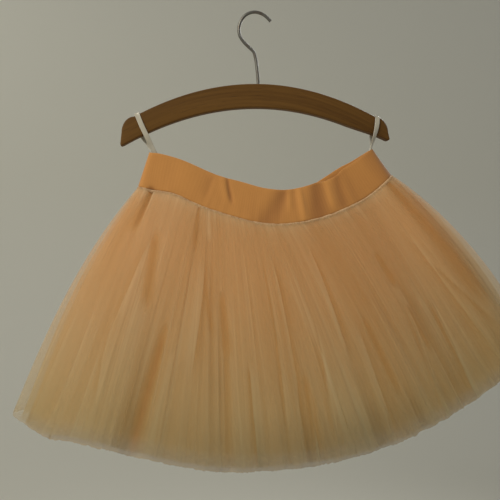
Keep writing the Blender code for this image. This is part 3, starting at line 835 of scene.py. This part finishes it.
def rib_material(band):
    n = Nodes("Salmon rib knit")
    cloth = n.cloth_map()
    ribs = n.stripes(n.stretched(cloth, (1, 0.02, 1)), band.rib, distortion=0.6)
    worn = n.noise(n.stretched(cloth, (60, 22, 1)), detail=3)
    patch = n.noise(n.stretched(cloth, (9, 7, 1)))
    tone = n.layered(n.times(n.tone(), 0.75), (ribs, 0.05), (worn, 0.16), (patch, 0.28))
    tint = n.blend(n.span(tone, 0.1, 0.85), band.shade, band.salmon)
    n.surface(Base_Color=tint, Roughness=0.82, Sheen_Weight=0.25)
    n.bump(n.maths("MULTIPLY_ADD", worn, 0.5, ribs), 0.16, 0.0003)
    return n.material


def thread_material(band):
    n = Nodes("Pale overlock thread")
    fibre = n.noise(n.position(), 900.0)
    tint = n.blend(n.span(fibre, 0.3, 0.7), band.thread_shade, band.thread)
    n.surface(Base_Color=tint, Roughness=0.7, Sheen_Weight=0.2)
    return n.material


def satin_material(hanger):
    n = Nodes("Ivory satin ribbon")
    cloth = n.cloth_map()
    haze = n.noise(n.stretched(cloth, (160, 60, 1)))
    tint = n.blend(n.span(haze, 0.2, 0.8, 0.0, 0.5), hanger.satin, hanger.satin_shade)
    n.surface(Base_Color=tint, Roughness=0.30, Sheen_Weight=0.4, Coat_Weight=0.15)
    n.bump(n.stripes(cloth, hanger.weft, along="Y"), 0.15, 0.0001)
    return n.material


def wood_material(hanger):
    n = Nodes("Brown varnished wood")
    # The grain bends with the bar, so the drop of its arc is taken off the height first.
    x, y, z = n.parts(n.position())
    run = n.maths("SUBTRACT", x, BAR_CENTRE_X)
    level = n.maths("MULTIPLY_ADD", n.times(run, run), TOP_BEND, z)
    flat = n.add("ShaderNodeCombineXYZ", {0: x, 1: y, 2: level}).outputs[0]
    grain = n.noise(n.stretched(flat, (9, 160, 330)), detail=4, rough=0.65)
    rings = n.noise(n.stretched(flat, (3.5, 40, 75)))
    pores = n.noise(n.stretched(flat, (60, 900, 1500)), detail=1)
    tone = n.layered(n.times(grain, 0.6), (rings, 0.5))
    tint = n.blend(n.span(tone, 0.30, 0.80, 0.20, 0.90), hanger.grain, hanger.wood)
    tint = n.blend(n.span(pores, 0.62, 0.75, 0.0, 0.5), tint, hanger.pore)
    n.surface(Base_Color=tint, Roughness=0.55, Specular_IOR_Level=0.12)
    n.bump(n.maths("ADD", grain, pores), 0.12, 0.0004)
    return n.material


def steel_material(hanger):
    n = Nodes("Dull steel wire")
    drawn = n.noise(n.position(), 700.0, detail=3)
    spots = n.noise(n.position(), 160.0, detail=3)
    tint = n.blend(n.span(spots, 0.45, 0.7, 0.0, 0.7), hanger.steel, hanger.tarnish)
    n.surface(Base_Color=tint, Metallic=0.85, Roughness=n.span(drawn, 0.3, 0.7, 0.34, 0.52))
    n.bump(drawn, 0.1, 0.0002)
    return n.material


def floor_material(stage):
    n = Nodes("Pale floor")
    n.surface(Base_Color=stage.pale, Roughness=0.9)
    return n.material


# ---------------------------------------------------------------- node groups


class Group(Tree):
    """A Geometry Nodes tree that works on a path, with named inputs."""

    def __init__(self, name, inputs):
        super().__init__(bpy.data.node_groups.new(name, "GeometryNodeTree"))
        self.new_socket("Geometry", "Geometry")
        for label, kind, default in inputs:
            self.new_socket(label, kind).default_value = default
        self.new_socket("Material", "Material")
        self.new_socket("Geometry", "Geometry", "OUTPUT")
        self.given = self.tree.nodes.new("NodeGroupInput").outputs

    def new_socket(self, label, kind, side="INPUT"):
        sockets = self.tree.interface
        return sockets.new_socket(name=label, in_out=side, socket_type="NodeSocket" + kind)

    def even_path(self, count):
        """The given path as a curve with evenly spaced points."""
        path = self.add("GeometryNodeMeshToCurve", {0: self.given["Geometry"]})
        inputs = {"Curve": path.outputs[0], "Count": count}
        return self.add("GeometryNodeResampleCurve", inputs).outputs[0]

    def tube(self, curve, sides, radius):
        """Round wire or thread along a curve, closed at its ends."""
        ring = self.add("GeometryNodeCurvePrimitiveCircle", {"Resolution": sides, "Radius": radius})
        inputs = {"Curve": curve, "Profile Curve": ring.outputs[0], "Fill Caps": True}
        return self.add("GeometryNodeCurveToMesh", inputs).outputs[0]

    def finish(self, geometry):
        """Ends the tree in real geometry, smooth and in the given material."""
        real = self.add("GeometryNodeRealizeInstances", {0: geometry}).outputs[0]
        smooth = self.add("GeometryNodeSetShadeSmooth", {0: real}).outputs[0]
        painted = self.add("GeometryNodeSetMaterial", {0: smooth, 2: self.given["Material"]})
        self.put(self.tree.nodes.new("NodeGroupOutput").inputs[0], painted.outputs[0])
        return self.tree


def wire_tree():
    """Sweeps round wire along a path."""
    g = Group("Bent wire", [("Wire", "Float", 0.0039), ("Sides", "Int", 20), ("Steps", "Int", 160)])
    inputs = {0: g.given["Wire"], 1: 0.5}
    radius = g.add("ShaderNodeMath", inputs, operation="MULTIPLY").outputs[0]
    return g.finish(g.tube(g.even_path(g.given["Steps"]), g.given["Sides"], radius))


def stitch_tree():
    """Sets a small arc of thread across a path, again and again."""
    g = Group(
        "Overlock stitches",
        [
            ("Stitches", "Int", 330),
            ("Reach", "Float", 0.0016),
            ("Thread", "Float", 0.0003),
            ("Seed", "Int", 7),
        ],
    )
    inputs = {"Resolution": 7, "Radius": g.given["Reach"], "Sweep Angle": math.pi}
    arc = g.add("GeometryNodeCurveArc", inputs)
    thread = g.tube(arc.outputs[0], 5, g.given["Thread"])
    along = g.add("GeometryNodeInputTangent", {}).outputs[0]
    out = g.add("GeometryNodeInputNamedAttribute", {0: "out"}, data_type="FLOAT_VECTOR").outputs[0]
    turned = g.add("FunctionNodeAlignRotationToVector", {"Vector": along}, axis="Z")
    inputs = {"Rotation": turned.outputs[0], "Vector": out}
    turned = g.add("FunctionNodeAlignRotationToVector", inputs, axis="Y", pivot_axis="Z")
    inputs = {0: (-0.12, -0.75, -0.12), 1: (0.12, -0.35, 0.12), "Seed": g.given["Seed"]}
    slant = g.add("FunctionNodeRandomValue", inputs, data_type="FLOAT_VECTOR").outputs[0]
    inputs = {"Rotation": turned.outputs[0], "Rotate By": slant}
    turned = g.add("FunctionNodeRotateRotation", inputs, rotation_space="LOCAL")
    size = g.add("FunctionNodeRandomValue", {2: 0.8, 3: 1.15, "Seed": g.given["Seed"]}).outputs[1]
    each = g.add(
        "GeometryNodeInstanceOnPoints",
        {
            "Points": g.even_path(g.given["Stitches"]),
            "Instance": thread,
            "Rotation": turned.outputs[0],
            "Scale": size,
        },
    )
    return g.finish(each.outputs[0])


def path_mesh(name, points, cyclic=False):
    mesh = bpy.data.meshes.new(name)
    count = len(points)
    edges = [(i, (i + 1) % count) for i in range(count if cyclic else count - 1)]
    mesh.from_pydata([tuple(p) for p in points], edges, [])
    return mesh


def made_by_nodes(name, path, tree, values, mat):
    """Runs a node group on a path and keeps the result as a piece."""
    source = in_scene(name + "_source", path)
    modifier = source.modifiers.new(tree.name, "NODES")
    modifier.node_group = tree
    named = {
        item.name: item.identifier
        for item in tree.interface.items_tree
        if item.item_type == "SOCKET" and item.in_out == "INPUT"
    }
    for key, value in {**values, "Material": mat}.items():
        modifier[named[key]] = value
    mesh = kept_mesh(source)
    mesh.name = name
    return mesh_object(name, mesh, mat)


# ---------------------------------------------------------------- the net


def smooth_levels(count):
    """Levels down a ply, closer together at the waist and at the hem."""
    t = np.linspace(0, 1, count)
    crowding = 0.38
    return (1 - crowding) * t + crowding * (0.5 - 0.5 * np.cos(math.pi * t))


def cut_size(points):
    """Width and length that the ply was cut to: its widest level, laid flat, by its drop."""
    widths = np.linalg.norm(np.diff(points, axis=1), axis=2).sum(axis=1)
    drops = np.linalg.norm(np.diff(points, axis=0), axis=2).sum(axis=0)
    return float(widths.max()), float(drops.mean())


def fold_edges(spread, level, rim, fade, latest, seed):
    """Pale edges of folds laid over, each on its own side and from its own level, 0 to 1."""
    weight, start, side = np.random.default_rng(seed).uniform(0, 1, (3, 997))
    fold = np.floor(spread).astype(int)
    across = spread - fold
    fold = fold % 997
    across = np.where(side[fold] < 0.5, across, 1 - across)
    shown = smooth_step((level - latest * start[fold]) / 0.3)
    shown = np.maximum(shown, 0.7 * smooth_step(1 - level / 0.16))
    return weight[fold] ** 1.6 * shown * smooth_step(across / rim) * np.exp(-across / fade)


def edge_tone(ply, spread, level):
    """How pale all the edges of laid-over folds make a ply, from 0 up."""
    tone = np.zeros_like(spread)
    for number, (folds, weight, rim, fade, latest) in enumerate(FOLD_EDGES):
        shifted = 0.5 * wander(spread * folds / 4, level * 1.4, ply.seed + number)
        shifted = spread * folds + 0.5 + shifted
        tone += weight * fold_edges(shifted, level, rim, fade, latest, ply.seed + 60 + number)
    return tone


def pleats(ply, spread, size, level):
    """How far the pleats of a ply stand out, and how far they lean over, metres."""
    out, over = np.zeros_like(spread), np.zeros_like(spread)
    for number, (count, at_waist, at_hem, lean, drift) in enumerate(PLY_PLEATS):
        turns = spread * count
        shifted = turns + drift * wander(turns / 5, level * 1.7, ply.seed + number)
        uneven = 0.62 + 0.5 * wander(turns / 3.1, level * 1.3 + 9, ply.seed + 40 + number)
        if number == 0:
            uneven = size * (0.75 + 0.35 * wander(spread / 2.3, level * 1.1, ply.seed + 50))
        height = (at_waist + (at_hem - at_waist) * level**0.75) * MM * uneven
        out -= height * np.cos(2 * math.pi * shifted)
        over += lean * MM * level**0.8 * uneven * np.sin(2 * math.pi * shifted + 0.4)
    return out, over


def ply_points(ply, net, u, levels, turns, size):
    """Points of one ply of net, the drape's directions, and its tone, -0.5 to 1."""
    top, waist, hem, puff = lines(u)
    along, drop = around(u), unit(hem - waist)
    at_seam, below = outward(u, top, waist), outward(u, waist, hem)
    level = levels[:, None]
    share = level * (1 + ply.longer)
    # The side edges of a ply meet their neighbours, so no pleat moves them.
    held = smooth_step(np.minimum(u - u[0], u[-1] - u) / SIDE_EDGE)
    spread = turns + ply.slant * level * wander(turns / 9, level * 0, ply.seed + 90)
    out, over = pleats(ply, spread, size, level)
    tone = edge_tone(ply, spread, level)

    # How far the drape stands out: the puff, the ply's own depth, and the creases.
    at_waist, at_hem, at_turn = ply.inset
    # An inner ply stands further in where the skirt turns to its sides, most of all at the right.
    at_side = below[:, 0] ** 2 * np.where(below[:, 0] > 0, 1.5, 1.0)
    at_hem = at_hem + (at_turn - at_hem) * at_side
    inset = (at_waist + (at_hem - at_waist) * level**0.8) * MM
    swell = puff * np.sin(math.pi * np.minimum(share, 1.0) ** 0.85)
    pull = creases(u, levels, CREASES) + creases(u, levels, LIGHT_CREASES)
    laid = laid_folds(u, levels)
    out = out * held + swell - inset - pull + LAID_LIFT * laid

    # Where a fold lies over, its hem hangs a little lower, with a step at its edge.
    ends = 0.7 * wander(spread * 1.7, level * 0, ply.seed + 70)
    ends = ends + 0.6 * wander(spread * 9, level * 0, ply.seed)
    fringe = net.ragged * ends + net.stepped * np.minimum(tone, 1.0)
    fringe = fringe * smooth_step(level * 2 - 1) * held

    normal = unit(at_seam + (below - at_seam) * smooth_step(level / 0.24)[..., None])
    points = waist + (hem - waist) * share[..., None]
    # The net starts a little over the roll of the seam.
    points = points - unit(waist - top) * NET_OVER_ROLL * (1 - level)[..., None]
    points = points + normal * out[..., None]
    points = points + along * (over * held)[..., None] + drop * fringe[..., None]

    contrast = CONTRAST_AT_WAIST + (CONTRAST_AT_HEM - CONTRAST_AT_WAIST) * level
    tone = EVEN_TONE + contrast * (EDGE_TONE * tone - CREASE_SHADE_TONE * pull / MM)
    tone = tone + ply.laid_share * laid * (1 - LAID_FADE * level)
    tone = tone + SEAM_GLOW * smooth_step(1 - level / SEAM_GLOW_DROP)
    return points, normal, np.clip(tone, -0.5, 1)


class SKIRT_OT_net(bpy.types.Operator):
    """Makes the three plies of gathered net, front and back"""

    bl_idname = "skirt.net"
    bl_label = "Net plies"

    def execute(self, context):
        net = context.scene.skirt_net
        peaches = {"sheer_net": net.light, "second_net": net.light, "deep_net": net.inner}
        levels = smooth_levels(net.levels)
        for ply in PLIES:
            label = ply.name.replace("_", " ").capitalize()
            mat = net_material(label, net, peaches[ply.name], *ply.look)
            for side, first, last, count, share in (
                ("front", 0.0, RIGHT_SEAM, ply.gathers[0], 1.0),
                ("back", RIGHT_SEAM, 1.0, ply.gathers[1], BACK_COLUMNS),
            ):
                u = np.linspace(first, last, int(net.columns * share))
                turns, size = gather_turns(u, first, last, count, ply.phase + len(side))
                points, drape, tone = ply_points(ply, net, u, levels, turns, size)
                cut = cut_size(points)
                piece = cloth_grid(f"{ply.name}_{side}", points, tone, cut, mat)
                soften(piece.data, drape)
                if ply.solid:
                    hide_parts(f"{ply.solid}_{side}")
        return {"FINISHED"}


# ---------------------------------------------------------------- the waistband


def flute_depths(u, level):
    """How far the band's flutes stand out at one level, in mm at their fullest."""
    depths = np.zeros_like(u)
    for row, top_row, half_width, depth, low, high in FLUTES:
        held = smooth_step((level - low) / 0.35) * smooth_step((high - level) / 0.2)
        away = apart(u, place(row + (top_row - row) * level)) * WAIST_LENGTH / MM
        depths += depth * held * bell(away / half_width)
    return depths


def band_points(columns):
    """Rings of points of the waistband, up its outside and down its inside, and its tone."""
    u = np.linspace(0, 1, columns, endpoint=False)
    top, waist, _, _ = lines(u)
    rise = unit(top - waist)
    for row, half_width, drop in SAGS:
        away = apart(u, place(row)) * WAIST_LENGTH / MM
        top = top - rise * (drop * MM * np.exp(-((away / half_width) ** 4)))[:, None]
    bottom = waist + rise * (SEAM_HEIGHT / 2 + GAP)
    normal = outward(u, top, bottom)
    outer = [(level, 1.0) for level in np.linspace(0.03, 0.985, 18)]
    cap = [(0.994, 0.75), (1.0, 0.3), (1.0, -0.3), (0.994, -0.75)]
    inner = [(level, -1.0) for level in np.linspace(0.985, 0.03, 10)]
    foot = [(0.01, -0.7), (0.0, 0.0), (0.01, 0.7)]
    points, tone = [], []
    for level, side in outer + cap + inner + foot:
        swell = 0.25 + 0.75 * math.sin(math.pi * min(0.12 + level * 0.75, 1.0))
        depths = flute_depths(u, level)
        # The knit puckers a little over the seam, and less at its top edge.
        at_foot = 0.22 * (1 - level) ** 2 * wander(u * PUCKERS, u * 0, 5)
        at_top = 0.12 * level**3 * wander(u * PUCKERS * 0.6, u * 0, 8)
        out = (depths * swell + at_foot + at_top) * MM + side * BAND_WALL / 2
        points.append(bottom + (top - bottom) * level + normal * out[:, None])
        # The flutes' depth paints shade in their hollows and light on their ridges; the band is also a
        # little paler toward its top edge.
        tone.append(np.clip(0.6 + 0.30 * depths + 0.10 * (level - 0.5), 0, 1))
    return np.array(points)[::-1], np.array(tone)[::-1]


class SKIRT_OT_waistband(bpy.types.Operator):
    """Makes the rib waistband with its flutes and crease"""

    bl_idname = "skirt.waistband"
    bl_label = "Waistband"

    def execute(self, context):
        band = context.scene.skirt_band
        points, tone = band_points(band.columns)
        size = (WAIST_LENGTH, BAND_MAP_HEIGHT)
        knit = cloth_grid("waistband_knit", points, tone, size, rib_material(band), True, True)
        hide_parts("waistband")
        return {"FINISHED"}


def seam_roll_points(columns):
    """Rings of points of the gathered seam roll, and its tone."""
    u = np.linspace(0, 1, columns, endpoint=False)
    top, waist, _, _ = lines(u)
    rise, normal = unit(top - waist), outward(u, top, waist)
    lumps = wander(u * SEAM_LUMPS, u * 0, 12)
    swollen = 1 + 0.22 * lumps
    tucked = PINCH_DEPTH * bell(apart(u, place(PINCH_ROW)) * WAIST_LENGTH / PINCH_HALF_WIDTH)
    waist = waist - normal * tucked[:, None]
    points = []
    for turn in np.linspace(0, 2 * math.pi, 12, endpoint=False):
        depth = SEAM_OUT * swollen if math.cos(turn) > 0 else np.full_like(u, SEAM_IN)
        across, height = depth * math.cos(turn), SEAM_ROLL / 2 * math.sin(turn) * swollen
        points.append(waist + normal * across[:, None] + rise * height[:, None])
    points = np.array(points)
    return points, np.broadcast_to(0.5 + 0.4 * lumps, points.shape[:2])


class SKIRT_OT_seam(bpy.types.Operator):
    """Makes the gathered seam roll and its overlock stitches"""

    bl_idname = "skirt.seam"
    bl_label = "Waist seam"

    def execute(self, context):
        band = context.scene.skirt_band
        thread = thread_material(band)
        points, tone = seam_roll_points(900)
        size = (WAIST_LENGTH, SEAM_MAP_HEIGHT)
        roll = cloth_grid("waist_seam_roll", points, tone, size, thread, True, True)
        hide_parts("waist_seam")

        u = np.linspace(0, 1, 1000, endpoint=False)
        top, waist, _, _ = lines(u)
        normal = outward(u, top, waist)
        path = path_mesh("stitch_line", waist + normal * STITCHES_OUT, cyclic=True)
        layer = path.attributes.new("out", "FLOAT_VECTOR", "POINT")
        layer.data.foreach_set("vector", normal.reshape(-1).astype(np.float32))
        values = {
            "Stitches": band.stitches,
            "Reach": STITCH_REACH,
            "Thread": THREAD_RADIUS,
            "Seed": 7,
        }
        stitches = made_by_nodes("overlock_stitches", path, stitch_tree(), values, thread)
        return {"FINISHED"}


# ---------------------------------------------------------------- ribbons and hanger


def ribbon_points(hanger, route, across):
    """Rings of points along a ribbon that turns about its own line, and its length."""
    at = np.linspace(0, 1, 150)
    read = smooth_curve(np.linspace(0, 1, len(route)), route, at, closed=False)
    middle, turn = read[:, :3] * MM, np.radians(read[:, 3])[:, None]
    along = unit(np.gradient(middle, axis=0))
    across = np.array(across)
    across = unit(across - along * (along @ across)[:, None])
    side = across * np.cos(turn) + np.cross(along, across) * np.sin(turn)
    face = np.cross(along, side)
    # Each edge is a selvedge, half as thick again.
    half = hanger.ribbon_wall / 2
    shares = np.linspace(-1, 1, 9)
    section = [(s, half * (1.5 if abs(s) > 0.78 else 1.0)) for s in shares]
    section += [(s, -h) for s, h in reversed(section)]
    curl = RIBBON_CURL * np.sin(at * 19)
    rows = [
        middle + side * (hanger.ribbon / 2 * s) + face * (h + curl * (1 - s * s))[:, None]
        for s, h in section
    ]
    return np.array(rows).transpose(1, 0, 2), np.linalg.norm(np.diff(middle, axis=0), axis=1).sum()


class SKIRT_OT_loops(bpy.types.Operator):
    """Makes the two hanging loops of satin ribbon"""

    bl_idname = "skirt.loops"
    bl_label = "Ribbon loops"

    def execute(self, context):
        hanger = context.scene.skirt_hanger
        satin = satin_material(hanger)
        for node, route, across in (
            ("loop_left", LEFT_LOOP, LEFT_LOOP_ACROSS),
            ("loop_right", RIGHT_LOOP, RIGHT_LOOP_ACROSS),
        ):
            points, run = ribbon_points(hanger, route, across)
            tone, size = np.full(points.shape[:2], 0.5), (2 * hanger.ribbon, run)
            loop = cloth_grid("ribbon_" + node, points, tone, size, satin, closed_columns=True)
            reworked(loop.data, lambda work: bmesh.ops.holes_fill(work, edges=work.edges, sides=64))
            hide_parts(node)
        return {"FINISHED"}


def bar_top(x):
    return -TOP_BEND * x * x


def bar_bottom(x):
    return -BAR_DEPTH - BOTTOM_BEND * x * x


def bar_outline():
    """Outline of the hanger's bar in its own plane, from its top middle."""
    tip_start, end = BAR_HALF_LENGTH - TIP_REACH, BAR_HALF_LENGTH
    half = [(x, bar_top(x)) for x in np.linspace(0, tip_start, 60)]
    for turned in np.radians(np.linspace(12, 88, 12)):
        x = tip_start + (TIP_REACH - TIP_SLANT) * math.sin(turned)
        half.append((x, bar_top(tip_start) - TIP_DROP * (1 - math.cos(turned))))
    corner = bar_bottom(end - CORNER) + CORNER_LIFT
    for turned in np.radians(np.linspace(5, 85, 7)):
        x = end - CORNER * (1 - math.cos(turned))
        half.append((x, corner + CORNER * (1 - math.sin(turned))))
    half += [(x, bar_bottom(x)) for x in np.linspace(end - 2 * CORNER, 0, 60)]
    right = []
    for x, z in half:
        under = z < bar_top(x) - TIP_DROP
        cut = RIGHT_CUT * smooth_step((x - RIGHT_CUT_FROM) / RIGHT_CUT_RUN)
        right.append((x, z + cut * under))
    return right + [(-x, z) for x, z in half[-2:0:-1]]


def bar_mesh():
    """The bar's outline as thick as the bar, with rounded edges."""
    curve = bpy.data.curves.new("bar_outline", "CURVE")
    outline = bar_outline()
    spline = curve.splines.new("POLY")
    spline.points.add(len(outline) - 1)
    for point, (x, z) in zip(spline.points, outline):
        point.co = (x, z, 0, 1)
    spline.use_cyclic_u = True
    curve.dimensions, curve.fill_mode = "2D", "BOTH"
    curve.extrude, curve.bevel_depth = BAR_THICKNESS / 2 - BAR_ROUNDING, BAR_ROUNDING
    curve.bevel_resolution, curve.offset = 5, -BAR_ROUNDING
    source = in_scene("bar_outline", curve)
    source.location = (BAR_CENTRE_X, 0, BAR_TOP_Z)
    source.rotation_euler = (math.radians(90), -BAR_TILT, 0)
    bpy.context.view_layer.update()
    mesh = kept_mesh(source)
    reworked(mesh, lambda work: bmesh.ops.remove_doubles(work, verts=work.verts, dist=1e-6))
    return mesh


def hook_path():
    """Middle line of the hook's wire, down into the bar."""
    route = np.array(HOOK + ((HOOK[-1][0], BAR_TOP_Z / MM - HOOK_IN_BAR),), float)
    run = np.concatenate([[0], np.cumsum(np.linalg.norm(np.diff(route, axis=0), axis=1))])
    x, z = smooth_curve(run / run[-1], route, np.linspace(0, 1, 200), closed=False).T * MM
    return path_mesh("hook_line", np.stack([x, x * 0, z], axis=1))


class SKIRT_OT_hanger(bpy.types.Operator):
    """Makes the wooden bar and the wire hook of the hanger"""

    bl_idname = "skirt.hanger"
    bl_label = "Hanger"

    def execute(self, context):
        hanger = context.scene.skirt_hanger
        bar = mesh_object("hanger_bar_wood", bar_mesh(), wood_material(hanger))
        bar.data.set_sharp_from_angle(angle=math.radians(45))
        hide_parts("hanger_bar")

        values = {"Wire": hanger.wire, "Sides": 20, "Steps": 170}
        steel = steel_material(hanger)
        hook = made_by_nodes("hanger_hook_wire", hook_path(), wire_tree(), values, steel)
        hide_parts("hanger_hook")
        return {"FINISHED"}


# ---------------------------------------------------------------- the stage


class SKIRT_OT_stage(bpy.types.Operator):
    """Makes the pale floor, the soft light and the camera"""

    bl_idname = "skirt.stage"
    bl_label = "Stage"

    def execute(self, context):
        stage, scene = context.scene.skirt_stage, context.scene
        profile = [(FLOOR_FRONT, 0.0), (BEND_START, 0.0)]
        for turned in np.radians(np.linspace(6, 90, 14)):
            rise = BEND_RADIUS * (1 - math.cos(turned))
            profile.append((BEND_START + BEND_RADIUS * math.sin(turned), rise))
        profile.append((BEND_START + BEND_RADIUS, BACKDROP_HEIGHT))
        sides = (-FLOOR_HALF_WIDTH, FLOOR_HALF_WIDTH)
        points = np.array([[(x, y, stage.floor_z + z) for x in sides] for y, z in profile])
        mesh = grid_mesh("floor", points)
        mesh.materials.append(floor_material(stage))
        mesh.shade_smooth()
        in_scene("floor", mesh)

        world = bpy.data.worlds.new("Pale surroundings")
        scene.world = world
        world.use_nodes = True
        background = world.node_tree.nodes["Background"]
        background.inputs["Color"].default_value = (*SURROUNDINGS, 1)
        background.inputs["Strength"].default_value = stage.fill
        for name, size, share, spread, tint, spot, aim in LIGHTS:
            data = bpy.data.lights.new(name, "AREA")
            data.shape, data.size, data.energy, data.color = "DISK", size, stage.key * share, tint
            data.spread = math.radians(spread)
            light = in_scene(name, data)
            light.location = spot
            light.rotation_euler = (Vector(aim) - Vector(spot)).to_track_quat("-Z", "Y").to_euler()

        data = bpy.data.cameras.new("camera")
        data.sensor_width, data.lens, data.clip_start = 36.0, stage.lens, 0.02
        scene.camera = in_scene("camera", data)
        scene.camera.location = CAMERA_SPOT
        scene.camera.rotation_euler = (math.radians(90), 0, -CAMERA_HEADING)
        scene.view_settings.view_transform = "Standard"
        return {"FINISHED"}


class SKIRT_PT_panel(bpy.types.Panel):
    """Lists the skirt's pieces and their sizes"""

    bl_idname = "SKIRT_PT_panel"
    bl_label = "Tulle Skirt"
    bl_space_type = "VIEW_3D"
    bl_region_type = "UI"
    bl_category = "Tulle Skirt"

    def draw(self, context):
        for group, _ in SETTINGS:
            box = self.layout.box()
            values = getattr(context.scene, group)
            for key in values.bl_rna.properties.keys():
                if key not in ("rna_type", "name"):
                    box.prop(values, key)
        for operator in OPERATORS:
            self.layout.operator(operator.bl_idname)


SETTINGS = (
    ("skirt_net", SkirtNet),
    ("skirt_band", SkirtBand),
    ("skirt_hanger", SkirtHanger),
    ("skirt_stage", SkirtStage),
)
OPERATORS = (
    SKIRT_OT_stage,
    SKIRT_OT_waistband,
    SKIRT_OT_seam,
    SKIRT_OT_net,
    SKIRT_OT_loops,
    SKIRT_OT_hanger,
)


def register():
    for name, group in SETTINGS:
        bpy.utils.register_class(group)
        setattr(bpy.types.Scene, name, PointerProperty(type=group))
    for each in (*OPERATORS, SKIRT_PT_panel):
        bpy.utils.register_class(each)


def unregister():
    for each in (SKIRT_PT_panel, *reversed(OPERATORS)):
        bpy.utils.unregister_class(each)
    for name, group in reversed(SETTINGS):
        delattr(bpy.types.Scene, name)
        bpy.utils.unregister_class(group)


def main():
    register()
    bpy.ops.skirt.stage()
    bpy.ops.skirt.waistband()
    bpy.ops.skirt.seam()
    bpy.ops.skirt.net()
    bpy.ops.skirt.loops()
    bpy.ops.skirt.hanger()


if __name__ == "__main__":
    main()
